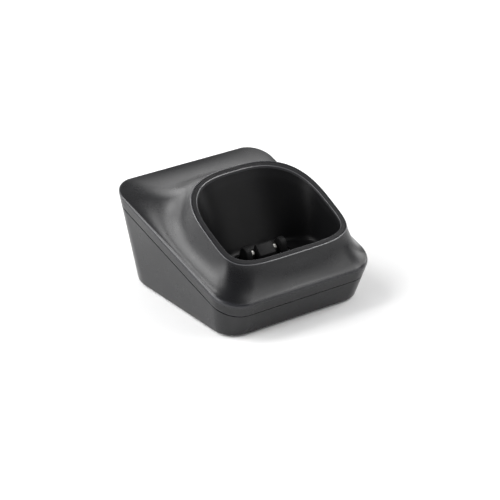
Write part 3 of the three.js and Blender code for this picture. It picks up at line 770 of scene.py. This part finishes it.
key_profile = [(-18.2, ROW_FOOT), (-18.2, 22.5)]
key_profile += arc(-17.85, 22.52, 0.35, 180, 137, 4)
key_profile += arc(-14.35, 25.55, 0.75, 128, 40, 7)
key_profile += [(-11.8, 21.4), (-11.8, ROW_FOOT)]
key = prism("carrier_key", key_profile, -KEY_HALF, KEY_HALF)
bevel(key, 0.25, 3)
finish_piece(key, "base", carrier_plastic)

fin_profile = [(-17.6, ROW_FOOT), (-17.6, 22.7)]
for k in range(26, -1, -2):
    turn = PI * k / 32
    fin_profile.append((-14.5 + 3.1 * math.cos(turn), 22 + 4.7 * math.sin(turn)))
fin_profile.append((-11.4, ROW_FOOT))
for side, low, high in (("left", -FIN_FAR, -FIN_NEAR), ("right", FIN_NEAR, FIN_FAR)):
    fin = prism("carrier_fin_" + side, fin_profile, low, high)
    bevel(fin, 0.3, 3)
    finish_piece(fin, "base", carrier_plastic)


# ---- Contacts ----

# The strip's middle line as (y, z) points, from its root over the crown to its tail.
CONTACT_LINE = [
    (-3.9, 17.25),
    (-6.6, 17.25),
    (-9.1, 17.8),
    (-10.6, 20.2),
    (-11.6, 22.8),
    (-12.9, 24.3),
    (-14.4, 24.0),
    (-15.4, 22.6),
    (-15.5, 21.0),
    (-14.8, 19.8),
]
CONTACT_WIDTH, CONTACT_THICKNESS = 1.8, 0.3


def catmull_rom(knots, steps):
    """Points along a uniform Catmull-Rom curve through the knots."""
    knots = np.array(knots, float)
    last = len(knots) - 1
    points = []
    for k in range(steps + 1):
        place = last * k / steps
        i = min(int(place), last - 1)
        w = place - i
        p0, p1, p2, p3 = knots[max(i - 1, 0)], knots[i], knots[i + 1], knots[min(i + 2, last)]
        v0, v1 = (p2 - p0) / 2, (p3 - p1) / 2
        points.append(
            (2 * p1 - 2 * p2 + v0 + v1) * w**3 + (3 * p2 - 3 * p1 - 2 * v0 - v1) * w**2 + v0 * w + p1
        )
    return np.array(points)


def contact_leaf(name, x):
    """A sprung strip that follows the contact's line, with rounded edges."""
    line = catmull_rom(CONTACT_LINE, 90)
    along = np.gradient(line, axis=0)
    along /= np.linalg.norm(along, axis=1)[:, None]
    section = round_rect(CONTACT_WIDTH / 2, CONTACT_THICKNESS / 2, 0.1)
    rings = []
    for (y, z), (ty, tz) in zip(line, along):
        ring = [(x + a, y - tz * b, z + ty * b) for a, b in section]
        rings.append(np.array(ring))
    return loft(name, rings, closed=False)


for side, x in (("left", -SLOT_X), ("right", SLOT_X)):
    leaf = contact_leaf("contact_leaf_" + side, x)
    finish_piece(leaf, "contact_" + side, shade_darkened_nickel, ["charge_contact_" + side], 50)


# ---- Power inlet ----

JACK_BACK = 42.6
jack = block("jack_body", (-4.5, 4.5), (29.5, JACK_BACK), (BOARD_TOP + REST_GAP, BOARD_TOP + 11))
bore = [(0, -9), (3, -9), (3, -0.4), (3.4, 0), (3.4, 1), (0, 1)]
pin_hole = [(0, -12), (1.3, -12), (1.3, -8), (0, -8)]
bevel(jack, 0.3)
cutters = [
    turned("bore", bore, 0, JACK_BACK, JACK_AXIS, along="y"),
    turned("pin_hole", pin_hole, 0, JACK_BACK, JACK_AXIS, along="y"),
]
combine(jack, "DIFFERENCE", cutters)
finish_piece(jack, "base", jack_plastic, ["power_jack"])
pin_profile = [(0, 31.2), (1, 31.2), (1, 41.2), *arc(0.5, 41.3, 0.5, 0, 90), (0, 41.8)]
pin = turned("jack_centre_pin", pin_profile, 0, 0, JACK_AXIS, along="y")
finish_piece(pin, "base", shade_darkened_nickel, ["jack_pin"])


# ---- Fasteners and feet ----


def pan_screw(name, at, seat):
    """A pan head screw that points up, with a cross recess and a coarse thread."""
    x, y = at
    profile = [(0, seat + 12), (0.45, seat + 12), (0.9, seat + 11)]
    pitch, turns = 1.1, 9
    for k in range(turns):
        z = seat + 10.8 - k * pitch
        profile += [(0.9, z), (1.2, z - 0.25), (1.2, z - 0.35), (0.9, z - 0.65)]
    profile += [(0.95, seat), (2.3, seat), (2.3, seat - 0.5)]
    profile += [(2.3 - 0.35 * k / 5 - 0.9 * (k / 5) ** 3, seat - 0.5 - 1.2 * k / 5) for k in range(1, 6)]
    profile.append((0, seat - 1.7))
    screw = turned(name, profile, x, y, sides=40)
    low, high = seat - 2.5, seat - 0.7
    blades = [
        block("blade", (x - 1.3, x + 1.3), (y - 0.28, y + 0.28), (low, high)),
        block("blade", (x - 0.28, x + 0.28), (y - 1.3, y + 1.3), (low, high)),
    ]
    return combine(screw, "DIFFERENCE", blades)


for row, at in CASE_SCREWS.items():
    for side, spot in pair(at):
        screw = pan_screw(f"housing_screw_{row}_{side}", spot, SEAT["depth"] - REST_GAP)
        finish_piece(screw, "base", zinc, [f"case_screw_{row}_{side}"])

pad_profile = [(0, 0.12), (1.2, 0.12), (1.5, 0), *arc(FOOT_RADIUS - 0.4, 0.4, 0.4, -90, 0)]
pad_profile += [(FOOT_RADIUS, 1.75), (0, 1.75)]
for row, at in FEET.items():
    for side, spot in pair(at):
        foot = turned(f"foot_pad_{row}_{side}", pad_profile, *spot, sides=64)
        finish_piece(foot, "base", foot_rubber, [f"rubber_foot_{row}_{side}"])


# ---- Solids that keep their own shape ----

KEPT = {
    "contact_terminal_left": brass,
    "contact_terminal_right": brass,
    "circuit_board": board,
    "charge_controller_chip": resin,
    "smoothing_capacitor": sleeve,
    "power_inductor": resin,
    "rectifier_diode": resin,
    "resettable_fuse": dipped,
    "sense_resistor_left": resin,
    "sense_resistor_right": resin,
    "ballast_plate": steel,
    "rating_label": film,
}
for name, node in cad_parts.items():
    if name in KEPT or name.startswith(("ballast_screw", "board_screw")):
        node.data.materials.clear()
        node.data.materials.append(KEPT.get(name, zinc))


# ---- Stage, light and camera ----


def pale_floor():
    bm = bmesh.new()
    bmesh.ops.create_grid(bm, x_segments=8, y_segments=8, size=6)
    mesh = bpy.data.meshes.new("floor")
    bm.to_mesh(mesh)
    bm.free()
    ground = bpy.data.objects.new("floor", mesh)
    bpy.context.scene.collection.objects.link(ground)
    material, tree, principled, add = shader("pale_floor")
    where = add("ShaderNodeTexCoord").outputs["Object"]
    cloud = noise(add, where, 3.0, 2.0)
    tone = spread(add, cloud, 0.985, 1.0)
    tree.links.new(scaled_colour(add, (0.93, 0.93, 0.93), tone), principled.inputs["Base Color"])
    principled.inputs["Roughness"].default_value = 0.9
    principled.inputs["Specular IOR Level"].default_value = 0.1
    ground.data.materials.append(material)


AIM = Vector((0, 0, 0.025))  # metres
CAMERA_PLACE = (-0.49823, -0.68801, 0.4155)  # metres
CAMERA_DIRECTION = (0.5336, 0.7316, -0.4243)
LENS = 156.116

# Each softbox's azimuth from the front, positive towards the right, its elevation and its angular
# width and height, all in degrees, and its power in watts.
SOFTBOXES = {
    "left_low": (-110, 15, 60, 20, 15.6),
    "left_high": (-112, 36, 50, 20, 7.4),
    "left_top": (-124, 57, 18, 16, 6.5),
    "left_core": (-120, 28, 16, 24, 3.5),
    "left_front": (-78, 28, 24, 40, 2.5),
    "left_back": (-148, 22, 26, 30, 5.4),
    "left_rear": (-158, 34, 18, 14, 1.7),
    "back": (178, 20, 40, 30, 6.3),
    "back_right": (140, 20, 30, 30, 2.2),
    "back_top": (180, 60, 40, 30, 0.9),
    "right": (92, 22, 26, 24, 4.6),
    "right_low": (85, 10, 30, 14, 1.3),
    "right_high": (62, 44, 24, 20, 5.7),
    "right_top": (72, 50, 16, 12, 3.5),
    "right_front": (40, 28, 20, 22, 3.0),
    "front_right": (25, 45, 20, 16, 1.2),
    "front_low": (38, 11, 36, 14, 1.8),
}
SOFTBOX_DISTANCE = 1.5  # metres
WORLD_STRENGTH = 0.12


def softbox(name, azimuth, elevation, width, height, power):
    data = bpy.data.lights.new(name, "AREA")
    data.shape = "RECTANGLE"
    data.size = 2 * SOFTBOX_DISTANCE * math.tan(math.radians(width / 2))
    data.size_y = 2 * SOFTBOX_DISTANCE * math.tan(math.radians(height / 2))
    data.energy = power
    lamp = bpy.data.objects.new(name, data)
    bpy.context.scene.collection.objects.link(lamp)
    turn, lift = math.radians(azimuth), math.radians(elevation)
    away = Vector((math.sin(turn) * math.cos(lift), -math.cos(turn) * math.cos(lift), math.sin(lift)))
    lamp.location = AIM + away * SOFTBOX_DISTANCE
    lamp.rotation_euler = (-away).to_track_quat("-Z", "Y").to_euler()


def make_light():
    for name, values in SOFTBOXES.items():
        softbox(name, *values)
    world = bpy.data.worlds.new("studio")
    bpy.context.scene.world = world
    world.use_nodes = True
    background = world.node_tree.nodes["Background"]
    background.inputs["Color"].default_value = (1, 1, 1, 1)
    background.inputs["Strength"].default_value = WORLD_STRENGTH


def make_camera():
    data = bpy.data.cameras.new("camera")
    data.sensor_width = 36
    data.lens = LENS
    data.clip_start = 0.01
    data.clip_end = 50
    camera = bpy.data.objects.new("camera", data)
    bpy.context.scene.collection.objects.link(camera)
    camera.location = CAMERA_PLACE
    camera.rotation_euler = Vector(CAMERA_DIRECTION).to_track_quat("-Z", "Y").to_euler()
    bpy.context.scene.camera = camera


pale_floor()
make_light()
make_camera()
bpy.context.scene.view_settings.view_transform = "Standard"
bpy.context.scene.view_settings.look = "None"
